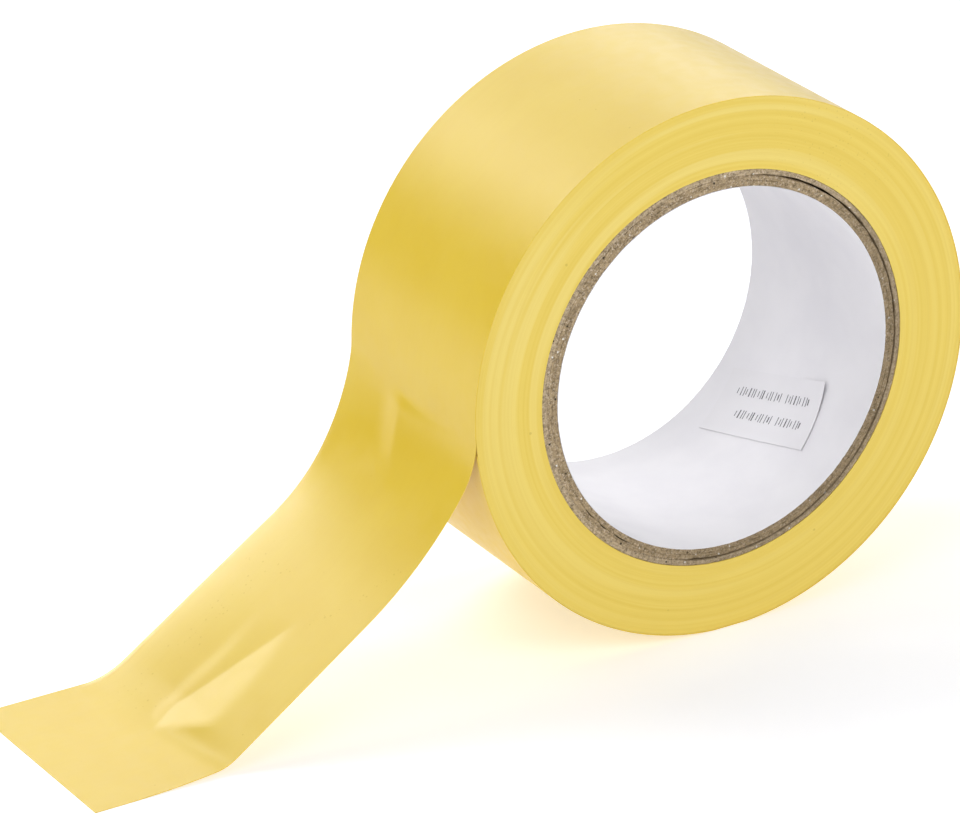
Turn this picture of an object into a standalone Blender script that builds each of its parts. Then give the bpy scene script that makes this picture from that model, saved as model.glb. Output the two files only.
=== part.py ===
"""A roll of yellow film tape on a board core. It stands on its rim, with its loose end drawn down
onto the table.

Units are metres, +Z is up. The roll's axis runs along Y and the loose end leaves on the -X side.
The origin is on the table, under the middle of the roll.
"""

from math import ceil, cos, pi, radians, sin, tau

import bmesh
import bpy
from mathutils import Matrix, Vector

# Driving dimensions
TAPE_WIDTH = 0.0508          # a 2 inch tape
BORE_RADIUS = 0.0381         # a 3 inch core
ROLL_RADIUS = 0.0568
FILM = 0.00014               # backing film with its adhesive
TURN_GAP = 0.0001            # between turns that slide on each other
PLY_GAP = 0.00005            # between layers that are glued face to face
SPLIT_GAP = 0.0003           # where the core's outer ply has come away from the middle one
HINGE_GAP = 0.0003           # between the lengths of film on either side of a hinge line

# Layers of the core, from the bore outwards
LINER = 0.00015
INNER_PLY = 0.00105
MIDDLE_PLY = 0.00095
OUTER_PLY = 0.0011

# Every round piece has the same number of flats, and one of them faces straight down
FLATS = 96
FLAT_ANGLE = tau / FLATS
AXIS_HEIGHT = ROLL_RADIUS * cos(FLAT_ANGLE / 2)

# The loose end starts straight down, swings out, runs straight and lands flat on the table.
# Angles are measured from straight down.
PEEL_ANGLE = pi              # on the roll, from +X
SWING_ANGLE = radians(19)
SWING_RADIUS = 0.015
RUN_ANGLE = radians(56)
RUN_IN_RADIUS = 0.049
LANDING_RADIUS = 0.026
FOOT = 0.0195                # flat on the table, past the landing bend
ARC_STEP = radians(4)

# The start of the outermost turn lies under the loose end: it steps in by one layer on its way there
STEP_IN = FILM + TURN_GAP
STEP_IN_ARC = radians(50)
SLIT = HINGE_GAP / ROLL_RADIUS

# The label is a paper patch inside the bore, stuck on askew
LABEL_THICKNESS = 0.0001
LABEL_LENGTH = 0.031
LABEL_HEIGHT = 0.0152
LABEL_ANGLE = radians(-43.5)  # of its middle, from +X
LABEL_ALONG = 0.0034         # of its middle, from the middle of the roll
LABEL_TWIST = radians(14.3)

YELLOW = (0.84, 0.65, 0.11)
BOARD_BROWN = (0.33, 0.27, 0.19)
PALE_BOARD = (0.42, 0.35, 0.26)
PAPER_WHITE = (0.80, 0.79, 0.82)


def clear_scene():
    for item in list(bpy.data.objects):
        bpy.data.objects.remove(item, do_unlink=True)


def new_collection(name):
    collection = bpy.data.collections.new(name)
    bpy.context.scene.collection.children.link(collection)
    return collection


def material(name, colour, roughness):
    made = bpy.data.materials.new(name)
    made.use_nodes = True
    shader = made.node_tree.nodes["Principled BSDF"]
    shader.inputs["Base Color"].default_value = (*colour, 1.0)
    shader.inputs["Roughness"].default_value = roughness
    shader.inputs["Metallic"].default_value = 0.0
    return made


def add_piece(name, shape, collection, finish, parent):
    """A bmesh made into a smooth-shaded object under its joint's empty."""
    mesh = bpy.data.meshes.new(name)
    shape.to_mesh(mesh)
    shape.free()
    mesh.materials.append(finish)
    mesh.shade_smooth()
    mesh.set_sharp_from_angle(angle=radians(30))
    piece = bpy.data.objects.new(name, mesh)
    collection.objects.link(piece)
    piece.parent = parent
    return piece


def joint_empty(name, collection, place, parent=None):
    """An empty on a joint's axis. place is (x, z) in world coordinates."""
    empty = bpy.data.objects.new(name, None)
    collection.objects.link(empty)
    empty.empty_display_size = 0.01
    empty.location = (place[0], 0, place[1])
    if parent:
        empty.parent = parent
        empty.location -= parent.location
    return empty


def turned_ring(name, inner, outer, collection, finish, axle):
    """A tube round the roll's axis, its square section turned by a Screw modifier."""
    half = TAPE_WIDTH / 2
    corners = ((inner, half), (outer, half), (outer, -half), (inner, -half))
    shape = bmesh.new()
    points = [shape.verts.new((radius, 0, along)) for radius, along in corners]
    for start, end in zip(points, points[1:] + points[:1]):
        shape.edges.new((start, end))
    ring = add_piece(name, shape, collection, finish, axle)
    ring.rotation_euler = (pi / 2, FLAT_ANGLE / 2, 0)
    screw = ring.modifiers.new("Turn", "SCREW")
    screw.steps = FLATS
    screw.render_steps = FLATS
    screw.use_merge_vertices = True
    screw.merge_threshold = 0.00001
    return ring


def thicken(piece, thickness):
    """Gives a sheet its thickness, all of it behind the face that was modelled."""
    modifier = piece.modifiers.new("Thickness", "SOLIDIFY")
    modifier.thickness = thickness
    modifier.offset = -1
    modifier.use_even_offset = True


def film_strip(name, path, collection, finish, parent):
    """A length of the tape whose outer face follows the world (x, z) path."""
    base = parent.matrix_world.translation
    shape = bmesh.new()
    points = [shape.verts.new(Vector((x, -TAPE_WIDTH / 2, z)) - base) for x, z in path]
    lines = [shape.edges.new(pair) for pair in zip(points, points[1:])]
    swept = bmesh.ops.extrude_edge_only(shape, edges=lines)["geom"]
    far_points = [item for item in swept if isinstance(item, bmesh.types.BMVert)]
    bmesh.ops.translate(shape, verts=far_points, vec=(0, TAPE_WIDTH, 0))
    thicken(add_piece(name, shape, collection, finish, parent), FILM)


def label_patch(name, collection, finish, axle):
    """A flat patch, twisted askew and then bent round the bore."""
    face = (BORE_RADIUS - PLY_GAP) * cos(FLAT_ANGLE / 2)
    size = Matrix.Diagonal((LABEL_LENGTH / 2, LABEL_HEIGHT / 2, 1, 1))
    shape = bmesh.new()
    bmesh.ops.create_grid(shape, x_segments=8, y_segments=6, size=1, matrix=size)
    twist = Matrix.Rotation(-LABEL_TWIST, 3, "Z")
    bmesh.ops.rotate(shape, verts=shape.verts, cent=(0, 0, 0), matrix=twist)
    for point in shape.verts:
        along, round_bore = point.co.x, point.co.y
        angle = LABEL_ANGLE + round_bore / face
        point.co = (face * cos(angle), LABEL_ALONG + along, face * sin(angle))
    thicken(add_piece(name, shape, collection, finish, axle), LABEL_THICKNESS)


def on_roll(radius, angle):
    """The (x, z) of a point on a circle round the roll's axis."""
    return (radius * cos(angle), AXIS_HEIGHT + radius * sin(angle))


def flat_corners(start, end):
    """Angles from start to end: both of those, and the corners of the flats between them."""
    corner = (ceil(start / FLAT_ANGLE + 0.5) - 0.5) * FLAT_ANGLE
    angles = [start]
    while corner < end:
        angles.append(corner)
        corner += FLAT_ANGLE
    return [*angles, end]


def outer_turn_path():
    """The outer face of the outermost turn, from where it starts under the loose end."""
    path = []
    for angle in flat_corners(PEEL_ANGLE - tau + SLIT, PEEL_ANGLE):
        tucked = 1 - (angle - PEEL_ANGLE + tau) / STEP_IN_ARC
        path.append(on_roll(ROLL_RADIUS - STEP_IN * max(0.0, tucked), angle))
    return path


def bend(path, heading, turn, radius):
    """Adds an arc to the path and returns the new heading, measured from straight down."""
    steps = ceil(abs(turn) / ARC_STEP)
    chord = 2 * radius * sin(abs(turn) / steps / 2)
    x, z = path[-1]
    for step in range(steps):
        middle = heading + turn * (step + 0.5) / steps
        x -= chord * sin(middle)
        z -= chord * cos(middle)
        path.append((x, z))
    return heading + turn


def loose_end_paths():
    """The outer face of the loose end: one path down to the landing bend, and one from there."""
    run = [on_roll(ROLL_RADIUS * cos(FLAT_ANGLE / 2), PEEL_ANGLE)]
    heading = bend(run, 0.0, SWING_ANGLE, SWING_RADIUS)
    heading = bend(run, heading, RUN_ANGLE - SWING_ANGLE, RUN_IN_RADIUS)
    landing_drop = LANDING_RADIUS * (1 - sin(RUN_ANGLE))
    x, z = run[-1]
    straight = (z - FILM - landing_drop) / cos(heading)
    landing_start = (x - straight * sin(heading), FILM + landing_drop)
    run.append(landing_start)
    foot = [landing_start]
    bend(foot, heading, pi / 2 - RUN_ANGLE, LANDING_RADIUS)
    foot.append((foot[-1][0] - FOOT, FILM))
    return run, foot


def drawn_back(path):
    """The path with its first point moved along it, which opens the gap at a hinge line."""
    start, following = Vector(path[0]), Vector(path[1])
    start += (following - start).normalized() * HINGE_GAP
    return [tuple(start), *path[1:]]


def build_core(collection, axle):
    """The board tube: a paper liner and three wound plies. Returns its outer radius."""
    white = material("paper", PAPER_WHITE, 0.8)
    brown = material("board", BOARD_BROWN, 0.95)
    pale = material("pale_board", PALE_BOARD, 0.95)
    layers = (
        ("core_liner", LINER, PLY_GAP, white),
        ("core_inner_ply", INNER_PLY, PLY_GAP, brown),
        ("core_middle_ply", MIDDLE_PLY, SPLIT_GAP, brown),
        ("core_outer_ply", OUTER_PLY, PLY_GAP, pale),
    )
    radius = BORE_RADIUS
    for name, thickness, gap, finish in layers:
        turned_ring(name, radius, radius + thickness, collection, finish, axle)
        radius += thickness + gap
    label_patch("core_label", collection, white, axle)
    return radius


def build_tape(collection, axle, core_radius, peel, landing, run, foot):
    """One strip of film: the wound turns, the outermost turn, and the loose end in two lengths."""
    yellow = material("yellow_film", YELLOW, 0.4)
    wound_radius = ROLL_RADIUS - 2 * STEP_IN
    turned_ring("tape_winding", core_radius, wound_radius, collection, yellow, axle)
    film_strip("tape_outer_turn", outer_turn_path(), collection, yellow, axle)
    film_strip("tape_tail", drawn_back(run), collection, yellow, peel)
    film_strip("tape_tail_end", drawn_back(foot), collection, yellow, landing)


def main():
    clear_scene()
    collection = new_collection("tape_roll")
    run, foot = loose_end_paths()
    axle = joint_empty("roll_axis", collection, (0, AXIS_HEIGHT))
    peel = joint_empty("peel_line", collection, run[0])
    bpy.context.view_layer.update()
    landing = joint_empty("landing_line", collection, foot[0], peel)
    bpy.context.view_layer.update()
    core_radius = build_core(collection, axle)
    build_tape(collection, axle, core_radius, peel, landing, run, foot)


main()
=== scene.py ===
"""The looks of a roll of yellow film tape on a board core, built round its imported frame.

Units are metres, +Z is up. The roll's axis runs along Y, its front side faces -Y, and the loose end
leaves on the -X side and comes down to the floor.
"""

from math import cos, radians, sin, tau

import bmesh
import bpy
import numpy as np
from mathutils import Matrix, Vector, noise


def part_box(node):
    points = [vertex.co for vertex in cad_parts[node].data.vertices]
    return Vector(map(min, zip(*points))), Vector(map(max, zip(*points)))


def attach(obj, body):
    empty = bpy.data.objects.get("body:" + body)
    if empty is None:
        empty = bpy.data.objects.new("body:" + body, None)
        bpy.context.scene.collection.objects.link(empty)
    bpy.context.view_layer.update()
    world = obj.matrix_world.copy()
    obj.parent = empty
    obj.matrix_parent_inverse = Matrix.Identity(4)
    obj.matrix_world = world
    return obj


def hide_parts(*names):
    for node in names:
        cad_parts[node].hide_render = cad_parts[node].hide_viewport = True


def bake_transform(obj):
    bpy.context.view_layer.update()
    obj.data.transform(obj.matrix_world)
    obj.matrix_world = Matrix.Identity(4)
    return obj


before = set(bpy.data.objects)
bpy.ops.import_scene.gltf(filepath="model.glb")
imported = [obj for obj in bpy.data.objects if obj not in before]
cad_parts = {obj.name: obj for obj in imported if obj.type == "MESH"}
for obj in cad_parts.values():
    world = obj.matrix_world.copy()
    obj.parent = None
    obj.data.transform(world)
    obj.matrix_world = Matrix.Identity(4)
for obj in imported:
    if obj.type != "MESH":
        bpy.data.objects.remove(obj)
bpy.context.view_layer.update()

# ---------------------------------------------------------------------------------- sizes

FILM = 0.00014               # the film with its adhesive
SLIP_GAP = 0.00001           # between the outermost turn and the turns inside it
BORE_RADIUS = 0.0381         # a 3 inch core
AXIS_HEIGHT = (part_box("tape_winding")[0].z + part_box("tape_winding")[1].z) / 2
HALF_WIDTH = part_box("tape_winding")[1].y
TAPE_WIDTH = 2 * HALF_WIDTH
FOOT_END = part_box("tape_tail_end")[0].x


def ring_radius(node):
    """Half the height of a round node."""
    low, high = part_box(node)
    return (high.z - low.z) / 2


ROLL_RADIUS = ring_radius("tape_outer_turn")
WOUND_RADIUS = ROLL_RADIUS - FILM - SLIP_GAP
TUCK = radians(2.9)          # how far under the film that leaves the roll the outermost turn starts

# The loose end, along its front edge, its middle and its back edge: the angle on the roll at which it
# leaves, in degrees, then how far it turns, in degrees, over what length, for its three bends into
# the straight run and for the two that lay it on the floor.
EDGE_LINES = np.array((
    (181.4, 13.0, 0.0020, 24.4, 0.0098, 19.7, 0.0310, 28.0, 0.0039, 6.3, 0.0200),
    (181.2, 18.0, 0.0020, 18.0, 0.0105, 21.7, 0.0290, 28.0, 0.0064, 5.7, 0.0115),
    (177.7, 9.0, 0.0022, 24.7, 0.0223, 20.9, 0.0155, 28.0, 0.0088, 5.1, 0.0030),
))
SOFTENING = 0.0008           # over which one bend passes into the next
FIRST_ANGLE = 150.0          # where the lines start, in degrees round the roll
STEP = 0.0001                # between samples along a line
TRACED_LENGTH = 0.175        # of each line, a little past the cut end
FIRST_RUN = 0.035            # a first guess at the straight run, which is then made to reach the floor
RUN_ROUNDS = 6               # how often the run is corrected
FRONT_CUT_BACK = 0.0010      # how much shorter the cut end is at its front corner
FRONT_CUT_SHARE = 0.78       # of the film's width, over which it is shorter

# Where the strip is divided, as lengths along the lines, and the points of its grid
PEEL_SEAM = radians(180 - FIRST_ANGLE) * ROLL_RADIUS    # the lifting film starts
LOWER_SEAM = 0.0790          # the film's landing and cut end start
FILM_COLUMNS = 121           # across the film
TURN_ROWS = 380              # round the roll, as far as FIRST_ANGLE
MEETING_ROWS = 76            # from there to PEEL_SEAM
LIFTING_ROWS = 140           # from PEEL_SEAM to LOWER_SEAM
LANDING_ROWS = 190           # from LOWER_SEAM to the cut end
FILM_PIECES = ("film_outer_turn", "film_lifting_end", "film_loose_end")

# The film's buckles. Slopes are across the film, and negative ones fall towards the back.
BUCKLE_TIP = 0.1196          # out from the roll's axis: where the buckle starts, on the landing bend
LEAF_SLOPE = -0.11           # its wide side, nearer the front
STREAK_SLOPE = -0.055        # a narrow fold near the middle of the film
PEEL_SLOPE = -0.14           # the short fold just below where the film leaves the roll
CURL_SLOPE = -0.14           # the curled back edge
CURL_WIDTH = 0.0016
CALM_SLOPE = 0.03            # film that slopes less than this takes up what the buckles gain


# ---------------------------------------------------------------------------------- meshes

DIRECTION_SHARE = 10         # "round_place" holds the direction from the roll's axis divided by this
SEED_SHIFT = 17.3            # between the places at which two seeds read the noise


def grid_faces(rows, columns, first=0, flipped=False, closed_rows=False, closed_columns=False):
    """Quads over a grid of points that are numbered row by row from first."""
    across = np.arange(columns if closed_columns else columns - 1)
    down = np.arange(rows if closed_rows else rows - 1)
    row, column = (item.ravel() for item in np.meshgrid(down, across, indexing="ij"))
    next_row, next_column = (row + 1) % rows, (column + 1) % columns
    corners = [row * columns + column, row * columns + next_column,
               next_row * columns + next_column, next_row * columns + column]
    faces = np.stack(corners, axis=1) + first
    return faces[:, ::-1] if flipped else faces


def thin_sheet(face, back, first=0):
    """A closed thin shape between two grids. Returns its points, and its faces from first: those of
    the face, then of the back, then round the rim."""
    rows, columns = face.shape[:2]
    count = rows * columns
    edge = np.concatenate((np.arange(columns), np.arange(1, rows) * columns + columns - 1,
                           (rows - 1) * columns + np.arange(columns - 2, -1, -1),
                           np.arange(rows - 2, 0, -1) * columns))
    following = np.roll(edge, -1)
    rim = np.stack((edge, edge + count, following + count, following), axis=1)
    points = np.concatenate((face.reshape(-1, 3), back.reshape(-1, 3)))
    sides = grid_faces(rows, columns), grid_faces(rows, columns, count, flipped=True)
    return points, np.concatenate((*sides, rim)) + first


def piece_from(name, points, faces, materials, sharp=35):
    """A smooth-shaded object with its faces turned outwards."""
    mesh = bpy.data.meshes.new(name)
    mesh.from_pydata(points.reshape(-1, 3).tolist(), [], faces.tolist())
    for item in materials:
        mesh.materials.append(item)
    shape = bmesh.new()
    shape.from_mesh(mesh)
    bmesh.ops.recalc_face_normals(shape, faces=shape.faces)
    shape.to_mesh(mesh)
    shape.free()
    mesh.shade_smooth()
    mesh.set_sharp_from_angle(angle=radians(sharp))
    made = bpy.data.objects.new(name, mesh)
    bpy.context.scene.collection.objects.link(made)
    return made


def keep_place(piece, name, values):
    """Stores a vector for each point, which the piece's material reads as its coordinates."""
    attribute = piece.data.attributes.new(name, "FLOAT_VECTOR", "POINT")
    attribute.data.foreach_set("vector", values.astype(np.float32).ravel())


def round_roll(radius, along, angle):
    """Points at these radii and angles round the roll's axis, and this far along it."""
    places = (radius * np.cos(angle), along, AXIS_HEIGHT + radius * np.sin(angle))
    return np.stack(np.broadcast_arrays(*places), axis=-1)


def noise_at(points, seed):
    """Smooth noise of about -1 to 1 at an array of points."""
    flat = points.reshape(-1, 3) + seed * SEED_SHIFT
    values = np.array([noise.noise(Vector(point)) for point in flat.tolist()])
    return values.reshape(points.shape[:-1])


def smooth_step(values, start, end):
    """Values from start..end onto 0..1, held at the ends."""
    share = np.clip((values - start) / (end - start), 0, 1)
    return share * share * (3 - 2 * share)


# ---------------------------------------------------------------------------------- materials

class Shading:
    """A material and short ways of adding nodes to it."""

    def __init__(self, name):
        self.material = bpy.data.materials.new(name)
        self.material.use_nodes = True
        self.tree = self.material.node_tree
        self.shader = self.tree.nodes["Principled BSDF"]

    def set(self, socket, value):
        """Gives the shader a value, or links a node's output to it."""
        self.feed(self.shader.inputs[socket], value)

    def feed(self, socket, value):
        """Gives any socket a value, or links a node's output to it."""
        if isinstance(value, bpy.types.NodeSocket):
            self.tree.links.new(value, socket)
        elif isinstance(value, tuple) and len(value) == 3 and socket.type == "RGBA":
            socket.default_value = (*value, 1.0)
        else:
            socket.default_value = value

    def node(self, kind, **values):
        """A node with its inputs, named or numbered, and its settings."""
        made = self.tree.nodes.new(kind)
        for key, value in values.items():
            if key.startswith("in_"):
                label = key.removeprefix("in_")
                self.feed(made.inputs[int(label) if label.isdigit() else label], value)
            else:
                setattr(made, key, value)
        return made

    def place(self, attribute, scale=(1, 1, 1)):
        """The stored coordinates, stretched by scale."""
        stored = self.node("ShaderNodeAttribute", attribute_name=attribute)
        return self.node("ShaderNodeMapping", in_Vector=stored.outputs["Vector"], in_Scale=scale).outputs[0]

    def noise(self, place, scale, detail, roughness=0.5):
        made = self.node("ShaderNodeTexNoise", in_Vector=place, in_Scale=scale, in_Detail=detail,
                         in_Roughness=roughness)
        return made.outputs["Fac"]

    def rings(self, width, drift, detail, roughness=0.5):
        """Noise in rings of about this width, which change round the roll at the rate of drift."""
        return self.noise(self.place("round_place", (1 / width, drift, drift)), 1.0, detail, roughness)

    def toward(self, cosine, sine):
        """How far a round piece's points lie towards a direction from the axis, from -1 to 1."""
        direction = (0.0, cosine * DIRECTION_SHARE, sine * DIRECTION_SHARE)
        return self.node("ShaderNodeVectorMath", operation="DOT_PRODUCT", in_0=self.place("round_place"),
                         in_1=direction).outputs["Value"]

    def ramp(self, value, start, end, low=0.0, high=1.0):
        """value from start..end onto low..high, held at the ends."""
        made = self.node("ShaderNodeMapRange", in_Value=value, interpolation_type="SMOOTHSTEP")
        for socket, number in zip(("From Min", "From Max", "To Min", "To Max"), (start, end, low, high)):
            made.inputs[socket].default_value = number
        return made.outputs["Result"]

    def mix(self, share, first, second):
        """A colour between two colours."""
        made = self.node("ShaderNodeMix", data_type="RGBA")
        self.feed(made.inputs["Factor"], share)
        self.feed(made.inputs[6], first)
        self.feed(made.inputs[7], second)
        return made.outputs[2]

    def maths(self, operation, first, second=0.0):
        return self.node("ShaderNodeMath", operation=operation, in_0=first, in_1=second).outputs[0]

    def product(self, first, *others):
        """These values and outputs multiplied."""
        for other in others:
            first = self.maths("MULTIPLY", first, other)
        return first

    def specks(self, place, cell, size, share, seed=0.0, flat=False):
        """1 inside small ragged spots of about that size, in that share of the cells of a random
        pattern, and 0 elsewhere."""
        shifted = self.node("ShaderNodeMapping", in_Vector=place, in_Location=(seed, seed * 2, seed * 3))
        cells = self.node("ShaderNodeTexVoronoi", voronoi_dimensions="2D" if flat else "3D",
                          in_Vector=shifted.outputs[0], in_Scale=1 / cell)
        random = self.node("ShaderNodeSeparateColor", in_Color=cells.outputs["Color"])
        ragged = self.maths("MULTIPLY", self.noise(place, 0.8 / size, 1), 0.7 * size / cell)
        distance = self.maths("ADD", cells.outputs["Distance"], ragged)
        distance = self.maths("DIVIDE", distance, self.maths("ADD", random.outputs["Green"], 0.5))
        spot = self.ramp(distance, 1.35 * size / cell, 0.85 * size / cell)
        return self.product(spot, self.maths("LESS_THAN", random.outputs["Red"], share))

    def bump(self, height, distance, strength=1.0):
        made = self.node("ShaderNodeBump", in_Height=height, in_Distance=distance, in_Strength=strength)
        self.set("Normal", made.outputs["Normal"])


def film_marks(film, place):
    """Grit under the film: a few grains all over, more on one half of the loose end, and a dotted
    line that carries on from the buckle's crease."""
    parts = film.node("ShaderNodeSeparateXYZ", in_0=place)
    length, across = parts.outputs["X"], parts.outputs["Y"]

    scattered = film.specks(place, cell=0.007, size=0.00016, share=0.06, flat=True)

    lower_half = film.product(film.ramp(length, 0.060, 0.075), film.ramp(length, 0.120, 0.112),
                              film.ramp(across, 0.001, 0.006))
    clusters = film.ramp(film.noise(place, 110, 1), 0.50, 0.60)
    grit = film.specks(place, cell=0.0015, size=0.00018, share=0.45, seed=0.4, flat=True)
    gritty = film.product(lower_half, clusters, grit)

    # The dotted line is 12.8 mm in front of the film's middle at 80 mm along, and slants by a half.
    slanted = film.maths("MULTIPLY", film.maths("SUBTRACT", 0.0800, length), 0.50)
    off_line = film.maths("ABSOLUTE", film.maths("ADD", film.maths("ADD", across, slanted), 0.0128))
    dots = film.specks(place, cell=0.0010, size=0.00020, share=0.45, seed=0.9, flat=True)
    dotted = film.product(film.ramp(length, 0.0600, 0.0615), film.ramp(length, 0.0815, 0.0795),
                          film.ramp(off_line, 0.0012, 0.0008), dots)
    return film.maths("MAXIMUM", film.maths("MAXIMUM", scattered, gritty), dotted)


def film_material():
    """The printed side of the film: satin yellow plastic with faint lines along its length."""
    film = Shading("yellow_film")
    even = film.place("film_place")
    lines = film.noise(film.place("film_place", (0.06, 1, 1)), 900, 3)
    tone = film.mix(film.ramp(film.noise(even, 60, 2), 0.3, 0.7), (0.775, 0.545, 0.036), (0.79, 0.565, 0.043))
    tone = film.mix(film.ramp(lines, 0.4, 0.8, 0.0, 0.12), tone, (0.74, 0.505, 0.026))
    tone = film.mix(film.product(film_marks(film, even), 0.7), tone, (0.66, 0.44, 0.004))
    film.set("Base Color", tone)
    film.set("Roughness", film.ramp(film.noise(even, 300, 3), 0.3, 0.7, 0.33, 0.40))
    film.set("IOR", 1.5)
    grain = film.maths("ADD", film.noise(even, 1500, 2), film.product(lines, 0.6))
    film.bump(grain, distance=0.00001, strength=0.35)
    return film.material


def adhesive_material():
    """The sticky side: duller, a little warmer, with a fine mottle."""
    glue = Shading("adhesive_side")
    even = glue.place("film_place")
    mottle = glue.noise(even, 800, 4)
    glue.set("Base Color", glue.mix(glue.ramp(mottle, 0.3, 0.7), (0.72, 0.50, 0.09), (0.80, 0.59, 0.14)))
    glue.set("Roughness", glue.ramp(mottle, 0.3, 0.7, 0.42, 0.6))
    glue.bump(mottle, distance=0.00003, strength=0.5)
    return glue.material


TOP_SIDE = (-0.4, 0.9)                                 # of the wound edges: more pale arcs
DUSTY_SIDE = (cos(radians(56)), sin(radians(56)))      # of the wound edges: more dust
PAINTED_SHADE_SIDE = (0.8, -0.6)                              # of the board: painted shade, its colour darker towards this side


def wound_edge_material():
    """The slit edges of the wound turns: rings of slightly different yellows, pale arcs and dust."""
    edge = Shading("wound_edges")
    body = edge.node("ShaderNodeTexCoord").outputs["Object"]
    fine = edge.rings(width=0.00016, drift=3, detail=2)
    broad = edge.rings(width=0.0011, drift=2, detail=3)
    arcs = edge.rings(width=0.0024, drift=6, detail=2)
    tone = edge.mix(edge.ramp(broad, 0.35, 0.65), (0.79, 0.58, 0.085), (0.83, 0.63, 0.115))
    on_top = edge.ramp(edge.toward(*TOP_SIDE), -0.2, 0.9, 0.35, 1.0)
    tone = edge.mix(edge.product(edge.ramp(arcs, 0.46, 0.64, 0.0, 0.62), on_top), tone, (0.87, 0.70, 0.20))
    tone = edge.mix(edge.ramp(fine, 0.35, 0.75, 0.0, 0.16), tone, (0.74, 0.51, 0.045))
    close_dust = edge.specks(body, cell=0.0008, size=0.00020, share=0.5, seed=0.3)
    dust = edge.product(edge.ramp(edge.toward(*DUSTY_SIDE), 0.93, 0.99), close_dust)
    dust = edge.maths("MAXIMUM", dust, edge.specks(body, cell=0.005, size=0.00024, share=0.10))
    tone = edge.mix(edge.product(dust, 0.42), tone, (0.50, 0.34, 0.03))
    edge.set("Base Color", tone)
    edge.set("Roughness", edge.ramp(broad, 0.3, 0.7, 0.42, 0.52))
    relief = edge.maths("ADD", fine, edge.product(edge.noise(body, 2500, 2), 0.6))
    edge.bump(relief, distance=0.00003, strength=0.3)
    return edge.material


def board_material(name, dark, light):
    """Grey-brown board: fibres along the turn, dark flecks, painted white glints, and painted shade darkening
    one side.
    """
    board = Shading(name)
    body = board.node("ShaderNodeTexCoord").outputs["Object"]
    strands = board.rings(width=0.0004, drift=60, detail=5, roughness=0.65)
    grain = board.noise(body, 1800, 4, 0.7)
    pale = board.noise(body, 2600, 2, 0.6)
    # A darker board colour, used for the grain and also for the painted shade on one side
    shaded = tuple(0.5 * value for value in dark)
    tone = board.mix(board.ramp(strands, 0.3, 0.7), dark, light)
    tone = board.mix(board.ramp(grain, 0.42, 0.66, 0.0, 0.85), tone, shaded)
    tone = board.mix(board.ramp(pale, 0.52, 0.68, 0.0, 0.65), tone, (0.70, 0.58, 0.44))
    # Painted glints: small near-white spots in the colour stand in for light glinting off the board
    painted_glints = board.specks(body, cell=0.0013, size=0.00024, share=0.18)
    tone = board.mix(painted_glints, tone, (0.88, 0.86, 0.80))
    dark_flecks = board.specks(body, cell=0.0017, size=0.00026, share=0.16, seed=0.7)
    tone = board.mix(dark_flecks, tone, (0.045, 0.035, 0.025))
    # Painted shade: the board's colour darkens towards one side, where less light falls on it
    tone = board.mix(board.ramp(board.toward(*PAINTED_SHADE_SIDE), -0.3, 0.7, 0.0, 0.40), tone, shaded)
    board.set("Base Color", tone)
    board.set("Roughness", 0.93)
    board.set("Specular IOR Level", 0.25)
    board.bump(board.maths("ADD", strands, grain), distance=0.00018, strength=1.0)
    return board.material


def paper_material(name, colour, shade, wrinkle):
    """Matt paper with a faint mottle, a few grey specks, and wrinkles of that height."""
    paper = Shading(name)
    body = paper.node("ShaderNodeTexCoord").outputs["Object"]
    fibres = paper.noise(body, 1400, 4, 0.6)
    cloudy = paper.noise(body, 90, 3)
    tone = paper.mix(paper.ramp(cloudy, 0.3, 0.7), shade, colour)
    tone = paper.mix(paper.specks(body, cell=0.009, size=0.0003, share=0.12), tone, (0.45, 0.44, 0.47))
    paper.set("Base Color", tone)
    paper.set("Roughness", 0.75)
    paper.set("Specular IOR Level", 0.35)
    height = paper.maths("ADD", paper.product(fibres, 0.25), paper.noise(body, 160, 3))
    paper.bump(height, distance=wrinkle, strength=0.6)
    return paper.material


def print_material():
    """Thin grey ink, a little worn."""
    ink = Shading("print_grey")
    body = ink.node("ShaderNodeTexCoord").outputs["Object"]
    worn = ink.ramp(ink.noise(body, 2500, 2), 0.4, 0.7)
    ink.set("Base Color", ink.mix(worn, (0.10, 0.10, 0.11), (0.26, 0.25, 0.27)))
    ink.set("Roughness", 0.6)
    return ink.material


# ---------------------------------------------------------------------------------- the film

def line_bends(share):
    """For lines at these shares of the width, front to back: one row each of EDGE_LINES' values."""
    weights = ((1 - share) * (1 - 2 * share), 4 * share * (1 - share), share * (2 * share - 1))
    return np.stack(weights, axis=1) @ EDGE_LINES


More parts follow.
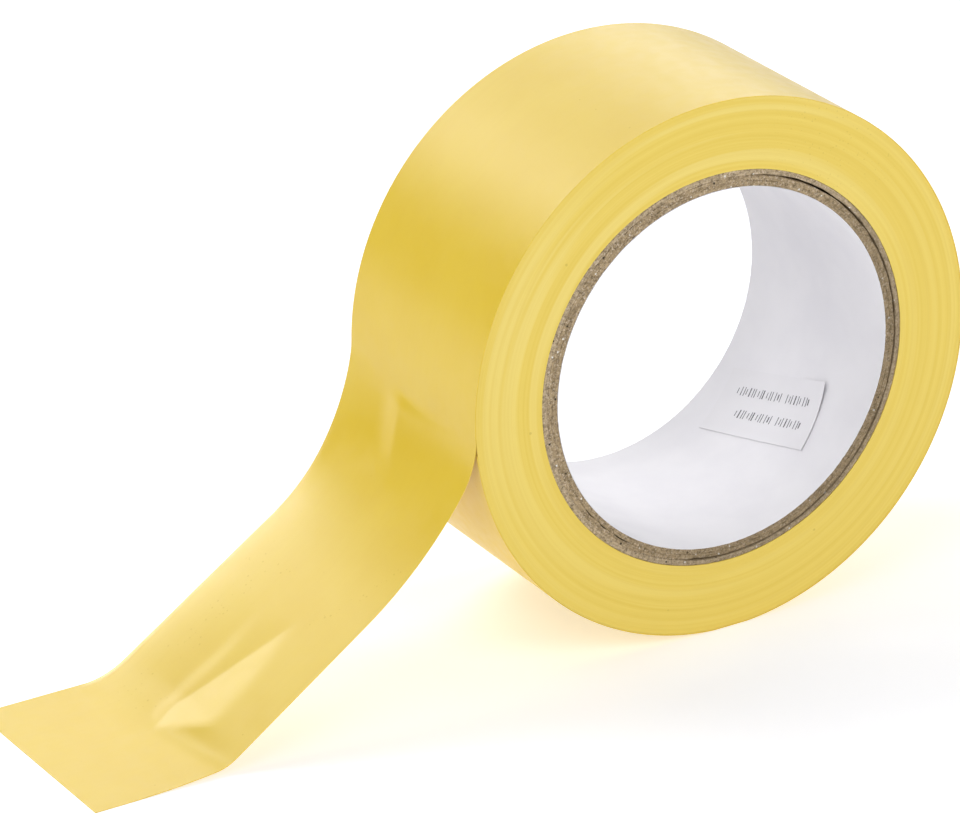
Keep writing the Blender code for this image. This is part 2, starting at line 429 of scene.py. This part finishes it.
def trace(bends, straights):
    """Follows the lines from FIRST_ANGLE on the roll, down the loose end and along the floor.
    Returns the length along, and x and z of each line there."""
    along = np.arange(0, TRACED_LENGTH, STEP)
    on_roll = np.radians(bends[:, 0] - FIRST_ANGLE)
    level = 0 * straights
    into_run, landing = np.radians(bends[:, 1:7:2]).T, np.radians(bends[:, 7::2]).T
    turns = (level, -on_roll, *into_run, level, *landing)
    sizes = (level, on_roll * ROLL_RADIUS, *bends[:, 2:8:2].T, straights, *bends[:, 8::2].T)
    knots, headings = np.cumsum(sizes, axis=0).T, radians(180 - FIRST_ANGLE) + np.cumsum(turns, axis=0).T
    before = np.arange(-SOFTENING * 4, 0, STEP)
    after = along[-1] + STEP + np.arange(0, SOFTENING * 4, STEP)
    samples = np.concatenate((before, along, after))
    kernel = np.exp(-0.5 * (np.arange(-len(before), len(before) + 1) * STEP / SOFTENING) ** 2)
    heading = np.array([np.interp(samples, *line) for line in zip(knots, headings)])
    heading[:, :len(before)] -= before / ROLL_RADIUS
    heading = np.array([np.convolve(line, kernel / kernel.sum(), mode="valid") for line in heading])
    middles = (heading[:, 1:] + heading[:, :-1]) / 2
    start = (ROLL_RADIUS * cos(radians(FIRST_ANGLE)), AXIS_HEIGHT + ROLL_RADIUS * sin(radians(FIRST_ANGLE)))
    x = start[0] - STEP * np.pad(np.cumsum(np.sin(middles), axis=1), ((0, 0), (1, 0)))
    z = start[1] - STEP * np.pad(np.cumsum(np.cos(middles), axis=1), ((0, 0), (1, 0)))
    return along[:x.shape[1]], x, z


def loose_lines(share):
    """The traced lines, each with the straight run that brings it down to the floor."""
    bends = line_bends(share)
    run_heading = np.radians(180 - bends[:, 0] + bends[:, 1:7:2].sum(axis=1))
    straights = np.full(len(share), FIRST_RUN)
    for _ in range(RUN_ROUNDS):
        along, x, z = trace(bends, straights)
        straights += (z[:, -1] - FILM) / np.cos(run_heading)
    return along, x, z


def at_lengths(lengths, along, values):
    """Values of each line at its own lengths. lengths has a row for each line."""
    return np.array([np.interp(wanted, along, line) for wanted, line in zip(lengths, values)])


def film_mesh(name, face, outward, place):
    """A closed thin mesh: its outer face is the grid given, and its inner face lies FILM behind it."""
    points, faces = thin_sheet(face, face - FILM * outward)
    made = piece_from(name, points, faces, (YELLOW_FILM, ADHESIVE))
    quads = (face.shape[0] - 1) * (face.shape[1] - 1)
    material = np.zeros(len(faces), int)
    material[quads:2 * quads] = 1
    made.data.polygons.foreach_set("material_index", material)
    keep_place(made, "film_place", np.tile(place.reshape(-1, 3), (2, 1)))
    return made


def grid_normals(points):
    """The outward normal at each point of a grid whose rows run down the film."""
    down = np.gradient(points, axis=0)
    across = np.gradient(points, axis=1)
    normal = np.cross(across, down)
    normal /= np.linalg.norm(normal, axis=2, keepdims=True)
    return normal


def spread_slopes(slopes, across):
    """Heights from slopes across the film, with both edges kept where they were: what the slopes
    gain is given back evenly over the rest of the width."""
    spacing = across[1] - across[0]
    calm = np.clip(1 - np.abs(slopes) / CALM_SLOPE, 0, 1)
    gained = slopes.sum(axis=1, keepdims=True)
    slopes = slopes - calm * gained / np.clip(calm.sum(axis=1, keepdims=True), 1, None)
    middles = (slopes[:, 1:] + slopes[:, :-1]) / 2 * spacing
    return np.pad(np.cumsum(middles, axis=1), ((0, 0), (1, 0)))


def buckle_slopes(up, across):
    """Slopes across the film near the buckle above the landing. up is the distance up the run from
    the buckle's tip, and across is from the middle of the film to the back."""
    rise = np.clip(up, 0, None)
    # The leaf lies between its front border and the crease, and both wander as the buckle rises.
    front = -0.0016 - 0.0125 * smooth_step(rise, -0.001, 0.011) + 0.0050 * smooth_step(rise, 0.017, 0.040)
    crease = -0.0010 + 0.0025 * smooth_step(rise, 0, 0.007) - 0.36 * np.clip(rise - 0.008, 0, None)
    leaf = smooth_step(across, front - 0.0016, front + 0.0040)
    leaf *= 1 - smooth_step(across, crease - 0.0004 - 0.03 * rise, crease + 0.0004)
    below = smooth_step(rise + 0.30 * (across + 0.0016), -0.0022, 0.0030)
    leaf *= below * (1 - smooth_step(rise, 0.035, 0.049))
    # The streak is a narrow fold that starts at the tip, as the leaf does, and fades out sooner.
    middle = -0.0013 + 0.0050 * smooth_step(rise, -0.002, 0.006) - 0.0013 * smooth_step(rise, 0.010, 0.023)
    streak = np.exp(-((across - middle) / 0.0020) ** 2)
    streak *= smooth_step(rise, 0.0005, 0.004) * (1 - smooth_step(rise, 0.020, 0.040))
    return LEAF_SLOPE * leaf + STREAK_SLOPE * streak


def peel_slopes(down, across):
    """Slopes across the film just below where it leaves the roll, down being the distance from there."""
    middle = 0.0068 - 0.05 * down - 20 * np.clip(down, 0, 0.03) ** 2
    side = smooth_step(across, middle - 0.0036, middle - 0.0012)
    side *= 1 - smooth_step(across, middle + 0.0006, middle + 0.0080)
    return PEEL_SLOPE * side * smooth_step(down, 0.0, 0.004) * (1 - smooth_step(down, 0.010, 0.020))


def edge_slopes(down, across):
    """The last of the width at the back edge curls down a little, all along the loose end."""
    curled = CURL_SLOPE * smooth_step(across, HALF_WIDTH - CURL_WIDTH, HALF_WIDTH)
    return curled * smooth_step(down, 0.010, 0.030)


def turn_rows(across, leaving):
    """Rows of points round the roll, from under the film that leaves it to where the lines take
    over, and their lengths along the lines. leaving has the angle at which each line leaves."""
    starts = leaving + TUCK - tau
    rounds = np.linspace(0, 1, TURN_ROWS)[:-1, None]
    angles = starts + rounds * (radians(FIRST_ANGLE) - starts)
    return round_roll(ROLL_RADIUS, across, angles), (angles - radians(FIRST_ANGLE)) * ROLL_RADIUS


def loose_rows(share, across, along, x, z):
    """Rows of points down the traced lines to the cut end, and their lengths along the lines."""
    cut = FOOT_END + FRONT_CUT_BACK * np.clip(1 - share / FRONT_CUT_SHARE, 0, 1)
    ends = np.array([np.interp(-stop, -line, along) for stop, line in zip(cut, x)])
    upper = np.concatenate((np.linspace(0, PEEL_SEAM, MEETING_ROWS),
                            np.linspace(PEEL_SEAM, LOWER_SEAM, LIFTING_ROWS)[1:]))
    lower = LOWER_SEAM + np.linspace(0, 1, LANDING_ROWS)[1:] * (ends[:, None] - LOWER_SEAM)
    lengths = np.concatenate((np.tile(upper, (len(share), 1)), lower), axis=1)
    places = at_lengths(lengths, along, x).T, across, at_lengths(lengths, along, z).T
    return np.stack(np.broadcast_arrays(*places), axis=2), lengths.T


def buckled(points, across, up, down):
    """The strip with its buckles and its curled edge, none of it under the floor. up is the distance
    of each point from the buckle's tip, and down from where the film leaves the roll."""
    height = spread_slopes(buckle_slopes(up, across) + peel_slopes(down, across), across)
    height += np.cumsum(edge_slopes(down, across), axis=1) * (across[1] - across[0])
    raised = points + grid_normals(points) * height[:, :, None]
    raised[:, :, 2] = np.maximum(raised[:, :, 2], FILM)
    return raised


def build_film():
    """The outermost turn and the loose end: one strip, in three meshes that share the rows where they
    meet. Returns each mesh with its length."""
    share = np.linspace(0, 1, FILM_COLUMNS)
    across = (share - 0.5) * TAPE_WIDTH
    leaving = line_bends(share)[:, 0]
    along, x, z = loose_lines(share)
    turn, turn_lengths = turn_rows(across, np.radians(leaving))
    loose, loose_lengths = loose_rows(share, across, along, x, z)
    lengths = np.concatenate((turn_lengths, loose_lengths))

    tips = np.array([np.interp(BUCKLE_TIP, -line, along) for line in x])
    down = lengths - np.radians(leaving - FIRST_ANGLE) * ROLL_RADIUS
    whole = buckled(np.concatenate((turn, loose)), across, tips - lengths, down)
    normals = grid_normals(whole)
    place = np.stack((lengths, np.broadcast_to(across, lengths.shape), 0 * lengths), axis=2)

    peel_row = len(turn) + MEETING_ROWS - 1
    stops = (0, peel_row, peel_row + LIFTING_ROWS - 1, len(whole) - 1)
    made = []
    for name, first, last in zip(FILM_PIECES, stops, stops[1:]):
        rows = slice(first, last + 1)
        piece = film_mesh(name, whole[rows], normals[rows], place[rows])
        made.append((piece, float((lengths[last] - lengths[first]).mean())))
    return made


# ---------------------------------------------------------------------------------- round pieces

CORNER = 0.00004             # how far short of each corner the points of a face and of a wall stop
WALL_POINTS = 7              # along a ring's inner or outer side

CORE_GAP = 0.00003           # between the core and the first turn
WOUND_STEPS = 420            # round the wound turns
DRIFT_DEPTH = 0.000035       # how far neighbouring turns lie in or out together
TURN_DEPTH = 0.000010        # how far one turn lies in or out
DISH_DEPTH = 0.00008         # how far in the outermost of the wound turns lie


def ring(name, section, steps, shape, material, sharp=35):
    """A ring whose closed section, a list of (radius, along), is turned round the axis in steps.
    shape moves its points: it takes and returns arrays of radius, along and angle."""
    section = np.array(section)
    radius, angle = np.meshgrid(section[:, 0], np.linspace(0, tau, steps, endpoint=False))
    along = np.broadcast_to(section[:, 1], radius.shape)
    radius, along, angle = shape(radius, along, angle)
    faces = grid_faces(steps, len(section), closed_rows=True, closed_columns=True)
    made = piece_from(name, round_roll(radius, along, angle), faces, (material,), sharp)
    direction = np.cos(angle) / DIRECTION_SHARE, np.sin(angle) / DIRECTION_SHARE
    keep_place(made, "round_place", np.stack((radius, *direction), axis=2))
    return made


def face_section(inner, outer, steps):
    """A closed rectangular section with steps points down each of its two end faces."""
    front = [(radius, -HALF_WIDTH) for radius in np.linspace(inner + CORNER, outer - CORNER, steps)]
    back = [(radius, HALF_WIDTH) for radius in np.linspace(outer - CORNER, inner + CORNER, steps)]
    walls = np.linspace(-HALF_WIDTH + CORNER, HALF_WIDTH - CORNER, WALL_POINTS)
    return front + [(outer, y) for y in walls] + back + [(inner, y) for y in walls[::-1]]


def pressed_in(along, depth, band):
    """along, moved inwards by depth wherever it is within band of an end of the roll."""
    return along - np.sign(along) * np.clip(depth, 0, None) * (np.abs(along) > HALF_WIDTH - band)


def build_winding():
    """The wound turns. Each turn's edge lies a little in or out, and the amount drifts round the roll."""
    inner = ring_radius("core_outer_ply") + CORE_GAP
    turns = int((WOUND_RADIUS - inner) / FILM)
    single = np.clip(np.random.default_rng(7).normal(0, 1, turns + 2), -2, 2)

    def relief(radius, along, angle):
        drift = np.stack((radius / 0.0016, np.cos(angle) * 1.3, np.sin(angle) * 1.3), axis=2)
        slow = noise_at(drift, 1) + 0.5 * noise_at(drift * 2.7, 2)
        turn = np.clip(((radius - inner) / FILM).astype(int), 0, turns + 1)
        inward = DRIFT_DEPTH * (1 + slow) + TURN_DEPTH * (2 + single[turn])
        dished = DISH_DEPTH * ((radius - inner) / (WOUND_RADIUS - inner)) ** 2
        return radius, pressed_in(along, inward + dished, band=0.00003), angle

    section = face_section(inner, WOUND_RADIUS, turns)
    made = ring("wound_turns", section, WOUND_STEPS, relief, WOUND_EDGES)
    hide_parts("tape_winding")
    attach(made, "roll")


# ---------------------------------------------------------------------------------- the core

PLY_GAP = 0.000008           # between plies that are glued, and between them and the liner
PLY_POINTS = 12              # down each end face of a ply
PLY_STEPS = 900              # round it
END_DEPTH = 0.00014          # how far a ply's end face is set back
END_RELIEF = 0.00012         # how far it is rough
END_ROUNDING = 0.00004       # how much deeper it is at its two edges
SPLIT_START = -110           # in degrees round the core, at its bottom left
SLITS = ((216, 2.2), (223, 1.6), (231, 3.0), (318, 1.5))   # their places and half widths, in degrees
SLIT_DEPTH = 0.00022

LINER_POINTS = 60            # along the bore
LINER_STEPS = 720            # round it


def split_width(angle):
    """How far the outer ply has come away from the middle one, from 0 to 1, round the core."""
    turned = (np.degrees(angle) - SPLIT_START) % 360
    opened = smooth_step(turned, 0, 10) * (1 - smooth_step(turned, 170, 198))
    ragged = noise_at(np.stack((np.cos(angle), np.sin(angle), 0 * angle), axis=-1) * 14, 5)
    return np.clip(opened * (0.85 + 0.6 * ragged), 0, 1.15)


def slits(angle):
    """How far the middle ply has come away from the inner one, round the core."""
    turned = np.degrees(angle) % 360
    opened = sum(np.exp(-((turned - place) / half_width) ** 4) for place, half_width in SLITS)
    return SLIT_DEPTH * np.clip(opened, 0, 1)


def board_ply(name, node, inner, outer, material, seed, inner_gap=None, outer_gap=None):
    """One ply: rough end faces set back a little, with edges that wander, and its side of any split."""
    def rough(radius, along, angle):
        around = np.stack((radius / 0.0012, np.cos(angle) * 30, np.sin(angle) * 30), axis=2)
        ragged = noise_at(around, seed) + 0.5 * noise_at(around * 3.1, seed + 1)
        rounding = (np.abs(radius - (inner + outer) / 2) / (outer - inner) * 2) ** 6
        along = pressed_in(along, END_DEPTH + END_RELIEF * ragged + END_ROUNDING * rounding, band=0.0001)
        share = (radius - inner) / (outer - inner)
        if outer_gap is not None:
            radius = radius - outer_gap(angle) * smooth_step(share, 0.3, 1.0)
        if inner_gap is not None:
            radius = radius + inner_gap(angle) * (1 - smooth_step(share, 0.0, 0.7))
        return radius, along, angle

    made = ring(name, face_section(inner, outer, PLY_POINTS), PLY_STEPS, rough, material, sharp=60)
    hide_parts(node)
    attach(made, "roll")


def ring_inner(node):
    """The least distance of a round node's points from the roll's axis."""
    points = np.array([point.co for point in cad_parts[node].data.vertices])
    return float(np.hypot(points[:, 0], points[:, 2] - AXIS_HEIGHT).min())


def build_core():
    """The three plies. The outer one has come away from the middle one over half of the core."""
    liner = ring_radius("core_liner")
    first, second, third = (ring_radius(f"core_{ply}_ply") for ply in ("inner", "middle", "outer"))
    meeting = (second + ring_inner("core_outer_ply")) / 2

    def split_side(deeper):
        """How far a ply's side of the split lies from where the two plies would meet."""
        return lambda angle: PLY_GAP / 2 + (meeting - second + deeper) * split_width(angle)

    board_ply("board_inner_ply", "core_inner_ply", liner + PLY_GAP, first, BOARD, 11)
    board_ply("board_middle_ply", "core_middle_ply", first + PLY_GAP, meeting, BOARD, 13,
              inner_gap=slits, outer_gap=split_side(0.00008))
    board_ply("board_outer_ply", "core_outer_ply", meeting, third, PALE_BOARD, 17,
              inner_gap=split_side(0.00010))


def build_liner():
    """The paper that lines the bore. Its edge is a little uneven where it was cut with the board."""
    inner, outer = BORE_RADIUS, ring_radius("core_liner")

    def uneven(radius, along, angle):
        around = np.stack((np.cos(angle), np.sin(angle), np.sign(along)), axis=2)
        edge = 0.00008 + 0.00008 * noise_at(around * 40, 21) + 0.00006 * noise_at(around * 150, 22)
        near_edge = smooth_step(np.abs(along), HALF_WIDTH - 0.002, HALF_WIDTH)
        bore = np.stack((np.cos(angle) * 3, np.sin(angle) * 3, along / 0.02), axis=2)
        waves = np.clip(0.00004 * noise_at(bore, 23), 0, None) * (radius < (inner + outer) / 2)
        return radius + waves, along - np.sign(along) * np.clip(edge, 0, None) * near_edge, angle

    walls = np.linspace(-HALF_WIDTH, HALF_WIDTH, LINER_POINTS)
    section = [(outer, y) for y in walls] + [(inner, y) for y in walls[::-1]]
    made = ring("bore_liner", section, LINER_STEPS, uneven, LINER_PAPER, sharp=50)
    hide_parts("core_liner")
    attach(made, "roll")


# ---------------------------------------------------------------------------------- the label

LABEL_SIZE = (0.031, 0.0152)
LABEL_POINTS = (49, 25)      # along it and down it
LABEL_ANGLE = radians(-43.5)          # of its middle, round the bore
LABEL_ALONG = 0.0034         # of its middle, from the middle of the roll
LABEL_TWIST = radians(14.3)
LABEL_THICKNESS = 0.00008
LABEL_GAP = 0.00006          # between the bore and the label
CORNER_LIFT, CORNER_REACH = 0.0005, 0.009      # of the corner that has come away
END_LIFT, END_REACH = 0.00008, 0.004           # of the label's end at that corner

PRINT_ROWS = ((0.0028, 25), (-0.0024, 22))     # each row's middle on the label, and its strokes
PRINT_MARGIN = 0.0039        # before the first stroke of a row
PRINT_SPACE = 8              # the stroke of a row that has a wider space after it
STROKE = 0.00026
STROKE_HEIGHT = 0.0020
STROKE_PITCH = 0.00090
INK_UNDER, INK_OVER = 0.000004, 0.00002        # the underside and top of the ink, over the label


def on_label(across, down, lift):
    """Points of the bore under the label's own coordinates, from its middle, lift inwards of the liner."""
    turned = across * cos(LABEL_TWIST) + down * sin(LABEL_TWIST)
    round_bore = down * cos(LABEL_TWIST) - across * sin(LABEL_TWIST)
    angle = LABEL_ANGLE + round_bore / BORE_RADIUS
    return round_roll(BORE_RADIUS - LABEL_GAP - lift, LABEL_ALONG + turned, angle)


def label_lift(across, down):
    """The corner that has come away, nearest the front and highest up the bore."""
    corner = (-LABEL_SIZE[0] / 2, LABEL_SIZE[1] / 2)
    away = np.hypot(across - corner[0], down - corner[1])
    end = np.clip(1 - (across - corner[0]) / END_REACH, 0, 1) ** 2
    return CORNER_LIFT * np.clip(1 - away / CORNER_REACH, 0, 1) ** 2 + END_LIFT * end


def build_label():
    """The paper patch in the bore, with its print."""
    across, down = np.meshgrid(*(np.linspace(-0.5, 0.5, count) * size
                                 for count, size in zip(LABEL_POINTS, LABEL_SIZE)))
    lift = label_lift(across, down)
    face = on_label(across, down, lift + LABEL_THICKNESS)
    made = piece_from("bore_label", *thin_sheet(face, on_label(across, down, lift)), (LABEL_PAPER,))
    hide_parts("core_label")
    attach(made, "roll")
    build_print()


def build_print():
    """Two rows of plain upright strokes, uneven in width, height and pitch, for the label's print."""
    points, faces, count = [], [], 0
    for middle, strokes in PRINT_ROWS:
        left = -LABEL_SIZE[0] / 2 + PRINT_MARGIN
        for stroke in range(strokes):
            width = STROKE * (0.8 + 0.5 * (stroke * 7 % 5 == 0))
            height = STROKE_HEIGHT * (1.0 - 0.35 * (stroke * 5 % 7 < 2))
            line, sides = np.meshgrid((left, left + width), middle + height * np.array((-0.5, 0, 0.5)),
                                      indexing="ij")
            lift = label_lift(line, sides) + LABEL_THICKNESS
            box, box_faces = thin_sheet(on_label(line, sides, lift + INK_OVER),
                                        on_label(line, sides, lift + INK_UNDER), count)
            points.append(box)
            faces.append(box_faces)
            count += len(box)
            left += STROKE_PITCH * (0.75 + 0.25 * (stroke % 3) + (stroke == PRINT_SPACE))
    made = piece_from("label_print", np.concatenate(points), np.concatenate(faces), (PRINT_GREY,))
    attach(made, "roll")


# ---------------------------------------------------------------------------------- studio

WORLD_FILL = 0.053           # the light of the surround
WORLD_SEEN = 1.0             # the surround itself, above the floor's far edge
FLOOR_RADIUS = 2.5
FLOOR_GLOW = (0.42, 1.0)     # near the roll, and at the far edge, where it meets the surround
FLOOR_FADE = (1.2, 1.8)      # from the roll: where the glow starts to grow, and where it is full

LIGHTS_AIM = Vector((-0.04, 0, 0.05))
# Each softbox's name, place, width and height, and power in watts
SOFTBOXES = (
    ("back_softbox", (0.48, 1.6, 0.75), (2.6, 1.1), 25),
    ("low_softbox", (-0.1, 1.5, 0.46), (0.8, 0.34), 3.3),
    ("key_softbox", (-0.55, 0.80, 1.20), (0.8, 0.8), 9),
    ("left_softbox", (-1.3, -0.5, 0.90), (1.1, 1.0), 9),
    ("front_softbox", (0.5, -1.5, 0.9), (1.2, 1.0), 15),
)

CAMERA_AIM = Vector((-0.0418, 0, 0.0488))
CAMERA_DISTANCE = 1.1051
CAMERA_AZIMUTH = radians(-28.355)    # from the roll's front; a negative one is towards the loose end
CAMERA_ELEVATION = radians(24.05)
CAMERA_ROLL = radians(-2.642)
CAMERA_LENS = 207.7          # in millimetres, as the sensor's width is
CAMERA_SENSOR = 36


def build_floor():
    """A plain pale floor, which glows so that it looks as white as the surround."""
    bpy.ops.mesh.primitive_circle_add(vertices=96, radius=FLOOR_RADIUS, fill_type="NGON", location=(0, 0, 0))
    floor = bpy.context.object
    floor.name = "studio_floor"
    pale = Shading("studio_floor")
    pale.set("Base Color", (0.80, 0.81, 0.86))
    pale.set("Roughness", 0.9)
    pale.set("Emission Color", (1.0, 1.0, 1.0))
    place = pale.node("ShaderNodeTexCoord").outputs["Object"]
    distance = pale.node("ShaderNodeVectorMath", operation="LENGTH", in_0=place).outputs["Value"]
    pale.set("Emission Strength", pale.ramp(distance, *FLOOR_FADE, *FLOOR_GLOW))
    floor.data.materials.append(pale.material)


def build_world():
    """A white surround that gives only a faint fill, so that the softboxes do the lighting."""
    world = bpy.data.worlds.new("studio")
    world.use_nodes = True
    bpy.context.scene.world = world
    tree = world.node_tree
    background = tree.nodes["Background"]
    background.inputs["Color"].default_value = (1, 1, 1, 1)
    strength = tree.nodes.new("ShaderNodeMapRange")
    strength.inputs["To Min"].default_value = WORLD_FILL
    strength.inputs["To Max"].default_value = WORLD_SEEN
    tree.links.new(tree.nodes.new("ShaderNodeLightPath").outputs["Is Camera Ray"], strength.inputs["Value"])
    tree.links.new(strength.outputs["Result"], background.inputs["Strength"])


def build_lights():
    """The softboxes, all turned towards the roll."""
    for name, place, size, power in SOFTBOXES:
        light = bpy.data.lights.new(name, "AREA")
        light.shape = "RECTANGLE"
        light.size, light.size_y = size
        light.energy = power
        lamp = bpy.data.objects.new(name, light)
        bpy.context.scene.collection.objects.link(lamp)
        lamp.location = place
        lamp.rotation_mode = "QUATERNION"
        lamp.rotation_quaternion = (LIGHTS_AIM - Vector(place)).to_track_quat("-Z", "Y")


def build_camera():
    """The photograph's camera, aimed at the middle of the part."""
    level_share, height_share = cos(CAMERA_ELEVATION), sin(CAMERA_ELEVATION)
    back = Vector((sin(CAMERA_AZIMUTH) * level_share, -cos(CAMERA_AZIMUTH) * level_share, height_share))
    level = Vector((0, 0, 1)).cross(back).normalized()
    right = level * cos(CAMERA_ROLL) + back.cross(level) * sin(CAMERA_ROLL)
    turned = Matrix((right, back.cross(right), back)).transposed()
    camera = bpy.data.objects.new("camera", bpy.data.cameras.new("camera"))
    bpy.context.scene.collection.objects.link(camera)
    camera.matrix_world = Matrix.Translation(CAMERA_AIM + back * CAMERA_DISTANCE) @ turned.to_4x4()
    camera.data.lens = CAMERA_LENS
    camera.data.sensor_width = CAMERA_SENSOR
    bpy.context.scene.camera = camera


# ---------------------------------------------------------------------------------- the scene

YELLOW_FILM = film_material()
ADHESIVE = adhesive_material()
WOUND_EDGES = wound_edge_material()
BOARD = board_material("board", (0.305, 0.225, 0.125), (0.525, 0.395, 0.235))
PALE_BOARD = board_material("pale_board", (0.375, 0.285, 0.170), (0.615, 0.48, 0.31))
LINER_PAPER = paper_material("liner_paper", (0.80, 0.79, 0.81), (0.765, 0.755, 0.78), wrinkle=0.00006)
LABEL_PAPER = paper_material("label_paper", (0.775, 0.765, 0.785), (0.755, 0.745, 0.765), wrinkle=0.00001)
PRINT_GREY = print_material()

build_camera()
build_world()
build_lights()
build_floor()

(turn_piece, turn_length), (lifting_piece, lifting_length), (end_piece, end_length) = build_film()
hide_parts("tape_outer_turn")
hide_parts("tape_tail")
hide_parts("tape_tail_end")
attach(turn_piece, "outer_turn")
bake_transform(lifting_piece)
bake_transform(end_piece)
build_winding()
build_core()
build_liner()
build_label()

bpy.context.scene.view_settings.view_transform = "Standard"
